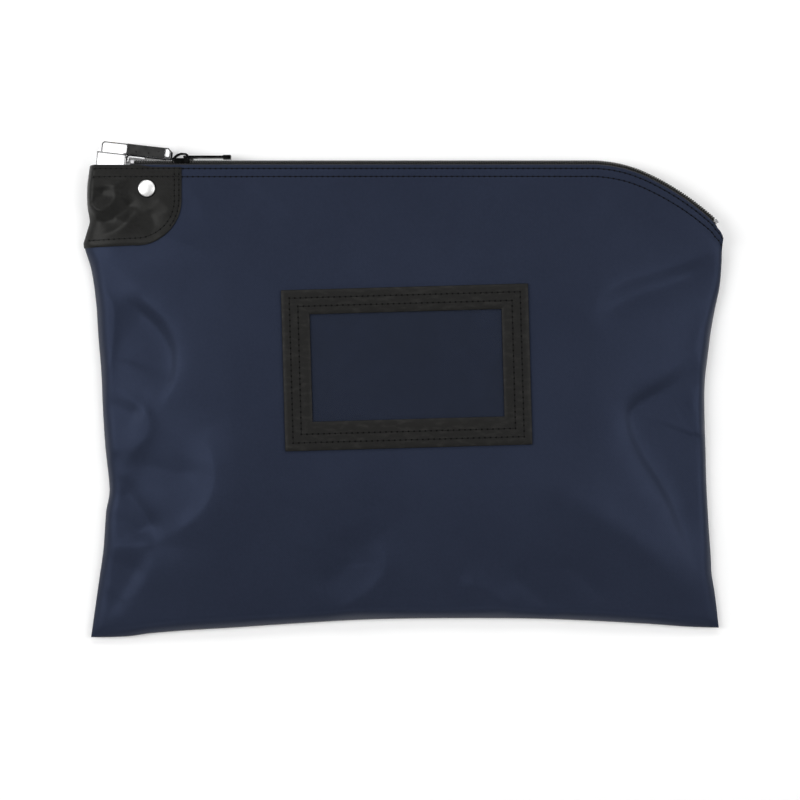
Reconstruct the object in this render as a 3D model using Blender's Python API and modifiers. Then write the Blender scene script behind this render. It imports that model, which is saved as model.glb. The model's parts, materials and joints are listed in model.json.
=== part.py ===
"""Cash deposit bag with a zipped mouth and a pop-up cylinder lock.

The bag lies on its back on z = 0 with its front up. The zipped edge is at +Y, the lock corner at -X.
Sizes are in millimetres here and are turned into metres as each mesh is made.
"""

import math

import bmesh
import bpy
from mathutils import Matrix, Vector

MM = 0.001
MID_Z = 8.5                    # height of the zipper's middle plane

# Bag outline
BOTTOM_LEFT = (-186.9, -148.1)
BOTTOM_RIGHT = (189.2, -142.4)
BOTTOM_RISE = 8.7              # how far the bottom edge pulls in at its middle
LEFT_PULL = 12.0
RIGHT_PULL = 9.8
SHOULDER = ((-190.5, 85.4), (-188.7, 93.0), (-186.9, 101.5), (-188.1, 114.0), (-187.5, 126.6), (-186.3, 134.2))
BAG_HEIGHT = 280.0

# Zipper path: the outer edge of the chain, as stretches of (length, turn to the right in degrees)
PATH_START = (-186.3, 137.0)
PATH_STRETCHES = ((298.3, 0.0), (34.9, 25.0), (47.5, 17.0), (10.6, 38.0), (4.0, 0.0))
PATH_LENGTH = sum(length for length, _turn in PATH_STRETCHES)
HEM_SETBACK = 3.1              # hem edge behind the chain's outer edge
HEM_HALF_GAP = 6.3             # hem's outer face from the middle plane
HEM_END_HALF_GAP = 4.2

# Fabric
FABRIC = 0.7
PATCH_FABRIC = 0.5
PATCH_LIFT = 0.4               # gap between a patch and its panel
GAP = 0.3
SEAM_HALF = 0.85               # outer face of a sewn edge from the seam's middle
FRONT_TOP = 18.5               # outer face of the filled front panel
PATCH_TOP = 133.4
PATCH_RIGHT = -131.6

# Chain
COIL_RADIUS = 1.1
COIL_Z = 1.8
CHAIN_START = 26.3             # path lengths where the coils start and stop
CHAIN_STOP = PATH_LENGTH - 13.0
TAPE = 0.5
TAPE_START = 23.8
TAPE_STOP = PATH_LENGTH - 8.0
TAPE_SETBACK = 2.65
TAPE_WIDTH = 9.0
TAPE_BEHIND = 1.25             # tape's middle behind the panel's outer face

# Label pocket, on the front
LABEL_CENTRE = (2.15, 13.3)
LABEL_SIZE = (146.0, 95.0)
FILM_SIZE = (132.0, 82.0)
WINDOW_SIZE = (114.0, 64.0)
LABEL_TURN = 1.6

# Lock: its own frame has p along the arm, q out of the bag and z through the bag
LOCK_ORIGIN = (-179.0, 148.2)
LOCK_TURN = -6.5
PLUG_P = 6.6                   # key axis
HEAD_TRAVEL = 2.6
HEAD_HALF = 4.0
ARM_INNER = 4.8
ARM_OUTER = 5.5
ARM_START = 17.6
ARM_END = 38.0
CAP_END = 41.5
CAP_HALF = 6.4
WAFER_Q = (-1.6, -2.9, -4.2, -7.2, -8.5)
SCREW_P = 7.0
SCREW_Z = 2.5

# Corner rivet
RIVET = (-152.2, 119.7)
RIVET_HOLE = 2.9
EYE_RADIUS = 6.0

# Slider
SLIDER_LEFT = -138.1
SLIDER_RIGHT = -125.1
SLIDER_HALF = 4.5
TAB_PIVOT = (-130.3, 138.95)
TAB_END = -102.6
TAB_HALF = 2.9
TAB_HOLE_HALF = 1.6
TAB_THICK = 1.4

COLOURS = {
    "navy_nylon": ((0.020, 0.028, 0.050), 0.55, 0.0),
    "black_nylon": ((0.024, 0.024, 0.024), 0.6, 0.0),
    "black_tape": ((0.012, 0.012, 0.013), 0.7, 0.0),
    "black_coil": ((0.010, 0.010, 0.011), 0.4, 0.0),
    "black_vinyl": ((0.022, 0.021, 0.020), 0.45, 0.0),
    "clear_vinyl": ((0.60, 0.64, 0.70), 0.2, 0.0),
    "chrome": ((0.75, 0.75, 0.76), 0.12, 1.0),
    "black_metal": ((0.02, 0.02, 0.02), 0.35, 0.6),
    "brass": ((0.60, 0.45, 0.20), 0.3, 1.0),
    "spring_steel": ((0.45, 0.45, 0.46), 0.3, 1.0),
}

COLUMNS = [0, 1.2, 2.4, 4, 8, 14, 22, 34, 50, 70, 100, 140, 180, 220, 260, 298.3,
           308, 318, 328, 338, 348, 358, 368, 376, 383, 389, 393, PATH_LENGTH]
ROWS = [0, 3, 6, 9, 14, 22, 34, 50, 70, 95, 125, 155, 185, 212, 235, 252, 264, 272, 277, 280]


# ---------------------------------------------------------------- scene helpers

def clear_scene():
    for obj in list(bpy.data.objects):
        bpy.data.objects.remove(obj)


def new_collection(name):
    collection = bpy.data.collections.new(name)
    bpy.context.scene.collection.children.link(collection)
    return collection


def make_materials():
    made = {}
    for name, (colour, roughness, metallic) in COLOURS.items():
        material = bpy.data.materials.new(name)
        material.use_nodes = True
        shader = material.node_tree.nodes["Principled BSDF"]
        shader.inputs["Base Color"].default_value = (*colour, 1.0)
        shader.inputs["Roughness"].default_value = roughness
        shader.inputs["Metallic"].default_value = metallic
        made[name] = material
    return made


clear_scene()
PARTS = new_collection("cash_deposit_bag")
CUTTERS = new_collection("cutters")
MATERIALS = make_materials()


def add_object(name, mesh, parent=None):
    obj = bpy.data.objects.new(name, mesh)
    PARTS.objects.link(obj)
    obj.parent = parent
    return obj


def finish(obj, material, smooth_below=None):
    """Give a part its material, and round pieces their smooth shading."""
    obj.data.materials.append(MATERIALS[material])
    if smooth_below is not None:
        obj.data.shade_smooth()
        obj.data.set_sharp_from_angle(angle=math.radians(smooth_below))
    return obj


def mesh_from(bm, name):
    bmesh.ops.recalc_face_normals(bm, faces=bm.faces)
    mesh = bpy.data.meshes.new(name)
    bm.to_mesh(mesh)
    bm.free()
    return mesh


def block(name, x, y, z, parent=None):
    """A box from three (low, high) pairs."""
    bm = bmesh.new()
    bmesh.ops.create_cube(bm, size=1.0)
    size = Vector((x[1] - x[0], y[1] - y[0], z[1] - z[0])) * MM
    centre = Vector((x[0] + x[1], y[0] + y[1], z[0] + z[1])) * MM / 2
    bmesh.ops.scale(bm, vec=size, verts=bm.verts)
    bmesh.ops.translate(bm, vec=centre, verts=bm.verts)
    return add_object(name, mesh_from(bm, name), parent)


def rod(name, radius, start, end, sides=20, parent=None):
    """A round bar between two points."""
    start = Vector(start) * MM
    end = Vector(end) * MM
    along = end - start
    turn = along.to_track_quat("Z", "Y").to_matrix().to_4x4()
    place = Matrix.Translation((start + end) / 2) @ turn
    bm = bmesh.new()
    bmesh.ops.create_cone(bm, cap_ends=True, segments=sides, radius1=radius * MM,
                          radius2=radius * MM, depth=along.length, matrix=place)
    return add_object(name, mesh_from(bm, name), parent)


def curve_object(name, points, cyclic):
    """A guide curve through points; curves are turned into meshes by curve_to_mesh."""
    curve = bpy.data.curves.new(name, "CURVE")
    spline = curve.splines.new("POLY")
    spline.points.add(len(points) - 1)
    for target, point in zip(spline.points, points):
        target.co = (*(Vector(point) * MM), 1.0)
    spline.use_cyclic_u = cyclic
    guide = bpy.data.objects.new(name + "_curve", curve)
    bpy.context.scene.collection.objects.link(guide)
    return guide


def curve_to_mesh(name, guide, parent=None):
    bpy.context.view_layer.update()
    depsgraph = bpy.context.evaluated_depsgraph_get()
    mesh = bpy.data.meshes.new_from_object(guide.evaluated_get(depsgraph))
    mesh.transform(guide.matrix_world)
    bpy.data.objects.remove(guide)
    bm = bmesh.new()
    bm.from_mesh(mesh)
    bmesh.ops.remove_doubles(bm, verts=bm.verts, dist=0.000005)
    bmesh.ops.recalc_face_normals(bm, faces=bm.faces)
    bm.to_mesh(mesh)
    bm.free()
    mesh.name = name
    return add_object(name, mesh, parent)


def prism(name, outline, low, high, parent=None, upright=False):
    """A flat outline extruded along Z from low to high, or along Y when upright (outline in X, Z)."""
    guide = curve_object(name, [(a, b, 0.0) for a, b in outline], True)
    guide.data.dimensions = "2D"
    guide.data.fill_mode = "BOTH"
    guide.data.extrude = (high - low) / 2 * MM
    middle = (low + high) / 2 * MM
    if upright:
        guide.rotation_euler.x = math.radians(90)
        guide.location.y = middle
    else:
        guide.location.z = middle
    return curve_to_mesh(name, guide, parent)


def tube(name, points, radius, parent=None):
    """A wire through points, with filled ends."""
    guide = curve_object(name, points, False)
    guide.data.dimensions = "3D"
    guide.data.bevel_depth = radius * MM
    guide.data.bevel_resolution = 2
    guide.data.use_fill_caps = True
    return curve_to_mesh(name, guide, parent)


def combine(target, tool, operation):
    """Boolean of target with tool; the tool is kept as a hidden cutter."""
    modifier = target.modifiers.new(tool.name, "BOOLEAN")
    modifier.operation = operation
    modifier.solver = "EXACT"
    modifier.object = tool
    PARTS.objects.unlink(tool)
    CUTTERS.objects.link(tool)
    tool.hide_render = True
    tool.display_type = "WIRE"


def cut(target, *tools):
    for tool in tools:
        combine(target, tool, "DIFFERENCE")


def join(target, *tools):
    for tool in tools:
        combine(target, tool, "UNION")


def turned(name, profile, centre, sides=24, parent=None):
    """A profile of (radius, height) from top to bottom, turned about a vertical axis."""
    mesh = bpy.data.meshes.new(name)
    points = [(radius * MM, 0.0, height * MM) for radius, height in profile]
    edges = [(i, i + 1) for i in range(len(points) - 1)]
    mesh.from_pydata(points, edges, [])
    obj = add_object(name, mesh, parent)
    obj.location = Vector((*centre, 0.0)) * MM
    screw = obj.modifiers.new("turn", "SCREW")
    screw.steps = sides
    screw.render_steps = sides
    screw.use_merge_vertices = True
    screw.merge_threshold = 0.00001
    screw.use_smooth_shade = True
    return obj


def smooth(t):
    """Ease from 0 to 1."""
    t = min(max(t, 0.0), 1.0)
    return t * t * (3 - 2 * t)


# ---------------------------------------------------------------- zipper path and panel surface

def path_at(s):
    """Point and heading (clockwise from +X) at length s along the zipper."""
    x, y = PATH_START
    heading = 0.0
    for length, turn in PATH_STRETCHES:
        step = min(s, length)
        if turn:
            radius = length / math.radians(turn)
            after = heading + step / radius
            x += radius * (math.sin(after) - math.sin(heading))
            y -= radius * (math.cos(heading) - math.cos(after))
            heading = after
        else:
            x += step * math.cos(heading)
            y -= step * math.sin(heading)
        s -= step
        if s <= 0:
            break
    return x, y, heading


def path_point(s, setback):
    """A point behind the zipper's outer edge."""
    x, y, heading = path_at(s)
    return x - setback * math.sin(heading), y - setback * math.cos(heading)


def hem_point(s):
    """The hem runs behind the chain, and out to the side seam at the right end."""
    setback = HEM_SETBACK - 2.8 * smooth((s - PATH_LENGTH + 10) / 10)
    return Vector(path_point(s, setback))


def bottom_edge(u):
    x = BOTTOM_LEFT[0] + (BOTTOM_RIGHT[0] - BOTTOM_LEFT[0]) * u
    y = BOTTOM_LEFT[1] + (BOTTOM_RIGHT[1] - BOTTOM_LEFT[1]) * u + BOTTOM_RISE * math.sin(math.pi * u)
    return Vector((x, y))


def left_edge(v):
    """Up the left side: a pulled-in curve to the patch's corner, then the shoulder points."""
    start_y = BOTTOM_LEFT[1]
    y = start_y + (hem_point(0)[1] - start_y) * v
    knee_x, knee_y = SHOULDER[0]
    if y <= knee_y:
        t = (y - start_y) / (knee_y - start_y)
        x = BOTTOM_LEFT[0] + (knee_x - BOTTOM_LEFT[0]) * t + LEFT_PULL * math.sin(math.pi * t)
        return Vector((x, y))
    for (x0, y0), (x1, y1) in zip(SHOULDER, SHOULDER[1:]):
        if y <= y1:
            return Vector((x0 + (x1 - x0) * (y - y0) / (y1 - y0), y))
    return Vector((SHOULDER[-1][0], y))


def right_edge(v):
    start = Vector(BOTTOM_RIGHT)
    point = start + (hem_point(PATH_LENGTH) - start) * v
    point.x -= RIGHT_PULL * math.sin(math.pi * v)
    return point


def plan_point(s, drop):
    """Plan position of a panel point: s along the hem, drop down from it."""
    u = s / PATH_LENGTH
    v = 1 - drop / BAG_HEIGHT
    across = bottom_edge(u) * (1 - v) + hem_point(s) * v
    along = left_edge(v) * (1 - u) + right_edge(v) * u
    corners = bottom_edge(0) * (1 - u) * (1 - v) + bottom_edge(1) * u * (1 - v)
    corners += hem_point(0) * (1 - u) * v + hem_point(PATH_LENGTH) * u * v
    return across + along - corners


def swell(distance, reach):
    """How far the fabric has risen at a distance in from a seam: 0 at the seam, 1 past reach."""
    t = min(max(distance / reach, 0.0), 1.0)
    return (1 - (1 - t) ** 2) ** 0.7


def seam_height(drop):
    return 3.0 + (MID_Z - 3.0) * smooth(1 - drop / 70)


def front_height(s, drop):
    left_reach = 3.2 + 66.8 * smooth((drop - 22) / 38)
    right_reach = 25 + 45 * smooth(drop / 50)
    rise = swell(s, left_reach) * swell(PATH_LENGTH - s, right_reach) * swell(BAG_HEIGHT - drop, 70)
    open_end = (HEM_END_HALF_GAP - SEAM_HALF) * smooth(1 - drop / 12) * smooth(s / 60)
    base = seam_height(drop) + SEAM_HALF + open_end
    hem = MID_Z + HEM_HALF_GAP
    target = hem + (FRONT_TOP - hem) * smooth((drop - 24) / 60)
    return base + (target - base) * rise


def back_height(s, drop):
    left_reach = 3.2 + 14.8 * smooth((drop - 22) / 38)
    right_reach = 25 - 7 * smooth(drop / 50)
    rise = swell(s, left_reach) * swell(PATH_LENGTH - s, right_reach) * swell(BAG_HEIGHT - drop, 18)
    open_end = (HEM_END_HALF_GAP - SEAM_HALF) * smooth(1 - drop / 12) * smooth(s / 60)
    base = seam_height(drop) - SEAM_HALF - open_end
    lift = MID_Z - HEM_HALF_GAP
    by_hem = smooth(1 - drop / 30)
    by_lock = smooth((73 - drop) / 45) * smooth((110 - s) / 45)
    target = lift * max(by_hem, by_lock)
    return base + (target - base) * rise


def surface_point(side, s, drop, lift=0.0):
    """Outer face of the front (side 1) or back (side -1) panel, moved out by lift."""
    x, y = plan_point(s, drop)
    height = front_height(s, drop) if side > 0 else back_height(s, drop)
    return Vector((x, y, height + side * lift)) * MM


def sheet(name, columns, rows, place, thickness, direction, face_down=False):
    """A grid bent by place(column, row) and thickened: -1 inwards, 1 outwards, 0 both ways."""
    bm = bmesh.new()
    across = len(columns) - 1
    down = len(rows) - 1
    bmesh.ops.create_grid(bm, x_segments=across, y_segments=down, size=0.5)
    for vert in bm.verts:
        column = columns[round((vert.co.x + 0.5) * across)]
        row = rows[down - round((vert.co.y + 0.5) * down)]
        vert.co = place(column, row)
    if face_down:
        bmesh.ops.reverse_faces(bm, faces=bm.faces)
    mesh = bpy.data.meshes.new(name)
    bm.to_mesh(mesh)
    bm.free()
    obj = add_object(name, mesh)
    solidify = obj.modifiers.new("thickness", "SOLIDIFY")
    solidify.thickness = thickness * MM
    solidify.offset = direction
    return obj


def swept_bar(name, start, stop, setbacks, heights, steps=1):
    """A rectangular bar that follows the zipper path."""
    bm = bmesh.new()
    bmesh.ops.create_cube(bm, size=1.0)
    cuts = [edge for edge in bm.edges if abs(edge.verts[0].co.x - edge.verts[1].co.x) > 0.5]
    if steps > 1:
        bmesh.ops.subdivide_edges(bm, edges=cuts, cuts=steps - 1, use_grid_fill=True)
    for vert in bm.verts:
        s = start + (stop - start) * (vert.co.x + 0.5)
        setback = setbacks[0] + (setbacks[1] - setbacks[0]) * (0.5 - vert.co.y)
        height = heights[0] + (heights[1] - heights[0]) * (vert.co.z + 0.5)
        x, y = path_point(s, setback)
        vert.co = Vector((x, y, MID_Z + height)) * MM
    return add_object(name, mesh_from(bm, name))


# ---------------------------------------------------------------- bag

def rivet_cutter(name):
    return rod(name, RIVET_HOLE, (*RIVET, -5), (*RIVET, 25))


def make_panels():
    for name, side in (("front_panel", 1), ("back_panel", -1)):
        panel = sheet(name, COLUMNS, ROWS, lambda s, drop: surface_point(side, s, drop),
                      FABRIC, -1, face_down=side < 0)
        cut(panel, rivet_cutter(name + "_rivet_hole"))
        finish(panel, "navy_nylon", 40)


def patch_outline():
    """Square at the hem, rounded at the lower right, and past the bag's left edge."""
    centre = (-158.6, 113.0)
    radius = PATCH_RIGHT - centre[0]
    points = [(-200.0, PATCH_TOP), (PATCH_RIGHT, PATCH_TOP)]
    for i in range(9):
        angle = -math.pi / 2 * i / 8
        points.append((centre[0] + radius * math.cos(angle), centre[1] + radius * math.sin(angle)))
    points.append((-200.0, 85.0))
    return points


def make_patches():
    columns = [s for s in COLUMNS if s <= 70]
    rows = [drop for drop in ROWS if drop <= 70]
    for name, side in (("front_corner_patch", 1), ("back_corner_patch", -1)):
        patch = sheet(name, columns, rows, lambda s, drop: surface_point(side, s, drop, PATCH_LIFT),
                      PATCH_FABRIC, 1, face_down=side < 0)
        combine(patch, prism(name + "_outline", patch_outline(), -5, 25), "INTERSECT")
        cut(patch, rivet_cutter(name + "_rivet_hole"))
        finish(patch, "black_nylon", 40)


def make_bindings():
    """Webbing strips sewn inside the side and bottom seams."""
    def seam_point(s, drop):
        x, y = plan_point(s, drop)
        return Vector((x, y, seam_height(drop))) * MM

    rows = [drop for drop in ROWS if 50 <= drop <= 264]
    left = sheet("left_seam_binding", [3.2, 10.2], rows, seam_point, 1.2, 0)
    right_rows = [drop for drop in ROWS if 22 <= drop <= 264]
    right = sheet("right_seam_binding", [PATH_LENGTH - 10.5, PATH_LENGTH - 3.5], right_rows,
                  seam_point, 1.2, 0)
    columns = [14, 50, 100, 140, 180, 220, 260, 298.3, 338, PATH_LENGTH - 14]
    bottom = sheet("bottom_seam_binding", columns, [270, 277], seam_point, 1.2, 0)
    for binding in (left, right, bottom):
        finish(binding, "black_tape")


def make_zipper():
    tape_columns = [TAPE_START] + [s for s in COLUMNS if TAPE_START < s < TAPE_STOP] + [TAPE_STOP]
    for name, side in (("front", 1), ("back", -1)):
        def tape_point(s, row, side=side):
            """Rows 0 and 1 cross the mouth to the chain; the others hang behind the panel."""
            on_panel = surface_point(side, s, max(row, 0.6), -TAPE_BEHIND)
            if row > 0:
                return on_panel
            x, y = path_point(s, TAPE_SETBACK)
            height = MID_Z + side * 0.7 if row < 0 else on_panel.z / MM
            return Vector((x, y, height)) * MM

        tape = sheet(name + "_zipper_tape", tape_columns, [-1, 0, 3, 6, TAPE_WIDTH], tape_point,
                     TAPE, 0)
        finish(tape, "black_tape")
        stretch = [CHAIN_START] + [s for s in COLUMNS if CHAIN_START < s < CHAIN_STOP] + [CHAIN_STOP]
        points = [(*path_point(s, COIL_RADIUS), MID_Z + side * COIL_Z) for s in stretch]
        finish(tube(name + "_coil", points, COIL_RADIUS), "black_coil", 50)
    stop_half = COIL_Z + COIL_RADIUS
    start_stop = swept_bar("zipper_start_stop", TAPE_START + 0.2, CHAIN_START - GAP, (0, 2.2),
                           (-stop_half, stop_half))
    end_stop = swept_bar("zipper_end_stop", CHAIN_STOP + GAP, CHAIN_STOP + 3, (0, 2.2),
                         (-stop_half, stop_half))
    finish(start_stop, "spring_steel")
    finish(end_stop, "spring_steel")


def turned_rectangle(size, centre):
    turn = math.radians(LABEL_TURN)
    corners = []
    for side_x, side_y in ((-1, -1), (1, -1), (1, 1), (-1, 1)):
        a = side_x * size[0] / 2
        b = side_y * size[1] / 2
        corners.append((centre[0] + a * math.cos(turn) - b * math.sin(turn),
                        centre[1] + a * math.sin(turn) + b * math.cos(turn)))
    return corners


def make_label_pocket():
    columns = [s for s in COLUMNS if 70 <= s <= 298.3]
    rows = [drop for drop in ROWS if 50 <= drop <= 185]
    film = sheet("label_window", columns, rows, lambda s, drop: surface_point(1, s, drop, 0.5),
                 0.3, 1)
    combine(film, prism("film_outline", turned_rectangle(FILM_SIZE, LABEL_CENTRE), 10, 25), "INTERSECT")
    finish(film, "clear_vinyl")
    frame = sheet("label_frame", columns, rows, lambda s, drop: surface_point(1, s, drop, 1.1), 0.6, 1)
    combine(frame, prism("frame_outline", turned_rectangle(LABEL_SIZE, LABEL_CENTRE), 10, 25),
            "INTERSECT")
    window = (LABEL_CENTRE[0] + 0.25, LABEL_CENTRE[1] + 1.2)
    cut(frame, prism("frame_window", turned_rectangle(WINDOW_SIZE, window), 5, 30))
    finish(frame, "black_vinyl")


def make_rivet():
    dome = [(5.0 * math.sin(a), MID_Z + 8.0 + 1.1 * math.cos(a))
            for a in (math.pi / 2 * i / 5 for i in range(6))]
    dome[0] = (0.0, dome[0][1])
    cap = turned("rivet_cap", dome + [(5.0, MID_Z + 7.5), (2.6, MID_Z + 7.5), (2.6, MID_Z - 6.5),
                                      (1.9, MID_Z - 6.5), (1.9, MID_Z + 8.1), (0.0, MID_Z + 8.1)], RIVET)
    post = turned("rivet_post", [(0.0, MID_Z + 7.7), (1.6, MID_Z + 7.7), (1.6, 1.0), (4.5, 1.0),
                                 (4.5, 0.4), (4.1, 0.0), (0.0, 0.0)], RIVET)
    finish(cap, "chrome")
    finish(post, "chrome")
    for name, side in (("front_rivet_spacer", 1), ("back_rivet_spacer", -1)):
        ends = sorted((MID_Z + side * 1.1, MID_Z + side * 5.3))
        ring = rod(name, 4.5, (*RIVET, ends[0]), (*RIVET, ends[1]))
        cut(ring, rivet_cutter(name + "_hole"))
        finish(ring, "spring_steel", 40)


# ---------------------------------------------------------------- lock

def lock_frame():
    empty = bpy.data.objects.new("lock_frame", None)
    PARTS.objects.link(empty)
    empty.location = Vector((*LOCK_ORIGIN, MID_Z)) * MM
    empty.rotation_euler.z = math.radians(LOCK_TURN)
    return empty


def to_lock(x, y):
    """Plan position in the lock's own p and q."""
    turn = math.radians(-LOCK_TURN)
    dx = x - LOCK_ORIGIN[0]
    dy = y - LOCK_ORIGIN[1]
    return dx * math.cos(turn) - dy * math.sin(turn), dx * math.sin(turn) + dy * math.cos(turn)


def make_housing(lock):
    housing = block("lock_housing", (-2.2, 15.3), (-22, -6.4), (-5.3, 5.3), lock)
    cut(housing,
        block("housing_socket", (-0.4, 13.7), (-20, -5), (-4.2, 4.2), lock),
        block("housing_notch", (12, 17), (-9.2, -5), (-4.2, 4.2), lock),
        block("housing_bolt_hole", (-4, 1), (-8.9, -7.1), (-1.7, 1.7), lock))
    for number, side in ((1, -1), (2, 1)):
        z = side * SCREW_Z
        hole = rod(f"housing_screw_hole_{number}", 1.1, (SCREW_P, -24, z), (SCREW_P, -18, z), 12, lock)
        cut(housing, hole)
    finish(housing, "chrome")
    tongue = block("slider_stop_tongue", (15.6, 26.8), (-7.8, -6.7), (-2, 2), lock)
    join(tongue, block("tongue_root", (15.6, 16.8), (-11, -7.2), (-1.9, 1.9), lock))
    finish(tongue, "chrome")


def make_head(lock):
    profile = [(0, -13), (13.3, -13), (13.3, -6.3), (ARM_END, -6.3), (ARM_END, -5.9), (CAP_END, -5.9),
               (CAP_END, -1.4), (CAP_END - 1.4, 0), (1.2, 0), (0, -1.2)]
    head = prism("lock_head", profile, -CAP_HALF, CAP_HALF, lock)
    for number, side in ((1, -1), (2, 1)):
        far = side * 9
        block_side = sorted((side * HEAD_HALF, far))
        arm_side = sorted((side * ARM_OUTER, far))
        cut(head,
            block(f"head_side_{number}", (-2, 15.6), (-15, 2), block_side, lock),
            block(f"arm_side_{number}", (15, ARM_END), (-15, 2), arm_side, lock))
    cut(head,
        block("arm_channel", (ARM_START, ARM_END), (-15, 2), (-ARM_INNER, ARM_INNER), lock),
        block("arm_doorway", (ARM_END - 1, CAP_END + 2), (-15, -1.2), (-ARM_INNER, ARM_INNER), lock),
        block("tongue_slot", (15.3, ARM_START + 1), (-15, -3.2), (-2.6, 2.6), lock),
        rod("plug_bore", 2.85, (PLUG_P, -15, 0), (PLUG_P, 2, 0), 24, lock),
        rod("plug_counterbore", 3.5, (PLUG_P, -15, 0), (PLUG_P, -9.7, 0), 24, lock),
        block("head_bolt_slot", (-1, 3.45), (-6.3, -4.5), (-1.75, 1.75), lock))
    finish(head, "chrome")
    for name, side in (("front_cover_plate", 1), ("back_cover_plate", -1)):
        plate = block(name, (15.7, 37.7), (-6.1, -0.2), sorted((side * 5.8, side * CAP_HALF)), lock)
        finish(plate, "black_metal")


def make_key_plug(lock):
    axis = bpy.data.objects.new("key_axis", None)
    PARTS.objects.link(axis)
    axis.parent = lock
    axis.location.x = PLUG_P * MM
    plug = rod("key_plug", 2.6, (0, -9.5, 0), (0, 0.2, 0), 24, axis)
    join(plug, rod("plug_tail", 1.3, (0, -11, 0), (0, -9, 0), 12, axis))
    cut(plug, block("keyway", (-0.5, 0.5), (-9, 1), (-1.7, 1.7), axis))
    for number, q in enumerate(WAFER_Q, 1):
        slot = block(f"wafer_slot_{number}", (-1.5, 1.5), (q - 0.4, q + 0.4), (-4, 4), axis)
        cut(plug, slot)
        drop = 0.12 * (number % 3 - 1)
        wafer = block(f"wafer_{number}", (-1.25, 1.25), (q - 0.15, q + 0.15), (drop - 2.05, drop + 2.05),
                      axis)
        cut(wafer, block(f"wafer_window_{number}", (-0.6, 0.6), (q - 1, q + 1), (-1, 1), axis))
        finish(wafer, "brass")
    finish(plug, "brass", 40)
    clip = rod("plug_retaining_clip", 3.1, (0, -10.6, 0), (0, -10.0, 0), 20, axis)
    cut(clip, rod("clip_hole", 1.6, (0, -12, 0), (0, -9, 0), 12, axis))
    finish(clip, "spring_steel", 40)


def make_bolt_and_spring(lock):
    finish(block("latch_bolt", (0.1, 3.1), (-6.1, -4.7), (-1.5, 1.5), lock), "spring_steel")
    turns = 4.5
    per_turn = 10
    radius = 2.3
    points = []
    for i in range(int(turns * per_turn) + 1):
        angle = 2 * math.pi * i / per_turn
        q = -19.4 + 7.8 * i / (turns * per_turn)
        points.append((PLUG_P + radius * math.cos(angle), q, radius * math.sin(angle)))
    finish(tube("pop_up_spring", points, 0.3, lock), "spring_steel", 60)


def make_anchor(lock):
    eye = to_lock(*RIVET)
    plate = block("anchor_plate", (1, 13), (-23.5, -22.3), (-4, 4), lock)
    arm = [(2, -23.1), (15.6, -22.6), (eye[0] - 1, eye[1] + 5.6), (eye[0] - 1, eye[1] - 5.6)]
    join(plate, prism("anchor_arm", arm[::-1], -0.8, 0.8, lock))
    join(plate, rod("anchor_eye", EYE_RADIUS, (*eye, -0.85), (*eye, 0.85), 24, lock))
    cut(plate, rod("anchor_eye_hole", RIVET_HOLE, (*eye, -3), (*eye, 3), 20, lock))
    for number, side in ((1, -1), (2, 1)):
        z = side * SCREW_Z
        hole = rod(f"anchor_screw_hole_{number}", 1.1, (SCREW_P, -25, z), (SCREW_P, -21, z), 12, lock)
        cut(plate, hole)
        screw = rod(f"anchor_screw_{number}", 1.4, (SCREW_P, -24.9, z), (SCREW_P, -23.8, z), 12, lock)
        join(screw, rod(f"anchor_shank_{number}", 0.8, (SCREW_P, -24.2, z), (SCREW_P, -20.4, z), 10, lock))
        finish(screw, "spring_steel")
    finish(plate, "spring_steel")


# ---------------------------------------------------------------- slider

def make_slider():
    left = SLIDER_LEFT
    right = SLIDER_RIGHT
    half = SLIDER_HALF
    plan = [(left, MID_Z - 3.3), (left + 1.6, MID_Z - half), (right - 2.0, MID_Z - half),
            (right, MID_Z - 3.3), (right, MID_Z + 3.3), (right - 2.0, MID_Z + half),
            (left + 1.6, MID_Z + half), (left, MID_Z + 3.3)]
    body = prism("slider_body", plan, 137.2, 138.0, upright=True)
    join(body,
         block("slider_divider", (left + 0.2, left + 2.6), (133.2, 137.6), (MID_Z - 0.4, MID_Z + 0.4)),
         block("slider_flange_1", (left + 2.0, right - 2.4), (134.9, 137.6), (MID_Z - 4.4, MID_Z - 3.15)),
         block("slider_flange_2", (left + 2.0, right - 2.4), (134.9, 137.6), (MID_Z + 3.15, MID_Z + 4.4)),
         prism("slider_lower_plate", plan, 132.7, 133.8, upright=True))
    finish(body, "black_metal")
    outer = [(-128.0, 138.3), (-128.2, 140.4), (-129.5, 141.3), (-132.5, 141.5), (-135.2, 140.6),
             (-137.6, 138.3)]
    inner = [(-135.8, 138.3), (-134.5, 139.3), (-132.6, 140.2), (-130.2, 140.3), (-129.35, 139.9),
             (-129.2, 138.3)]
    bridge = prism("slider_bridge", outer + inner, MID_Z - 1.1, MID_Z + 1.1)
    finish(bridge, "black_metal")


def make_pull_tab():
    """The tab's origin is on its hinge line, so it is drawn about the pivot."""
    hinge = bpy.data.objects.new("tab_hinge", None)
    PARTS.objects.link(hinge)
    hinge.location = Vector((*TAB_PIVOT, MID_Z)) * MM
    length = TAB_END - TAB_PIVOT[0]
    half = TAB_HALF
    plan = [(0, -half), (length - 1, -half + 0.2), (length, -half + 1.2), (length, half - 1.2),
            (length - 1, half - 0.2), (0, half)]
    tab = prism("pull_tab", plan, -TAB_THICK / 2, TAB_THICK / 2, hinge, upright=True)
    cut(tab, block("tab_hole", (-2, 7.8), (-3, 3), (-TAB_HOLE_HALF, TAB_HOLE_HALF), hinge))
    join(tab,
         rod("tab_bar", 0.75, (0, 0, -half + 0.1), (0, 0, half - 0.1), 12, hinge),
         block("tab_grip", (length - 4.6, length - 0.1), (-1.45, 1.15), (-half + 0.4, half - 0.4), hinge))
    finish(tab, "black_metal")


make_panels()
make_patches()
make_bindings()
make_zipper()
make_label_pocket()
make_rivet()
LOCK = lock_frame()
make_housing(LOCK)
make_head(LOCK)
make_key_plug(LOCK)
make_bolt_and_spring(LOCK)
make_anchor(LOCK)
make_slider()
make_pull_tab()
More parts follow.
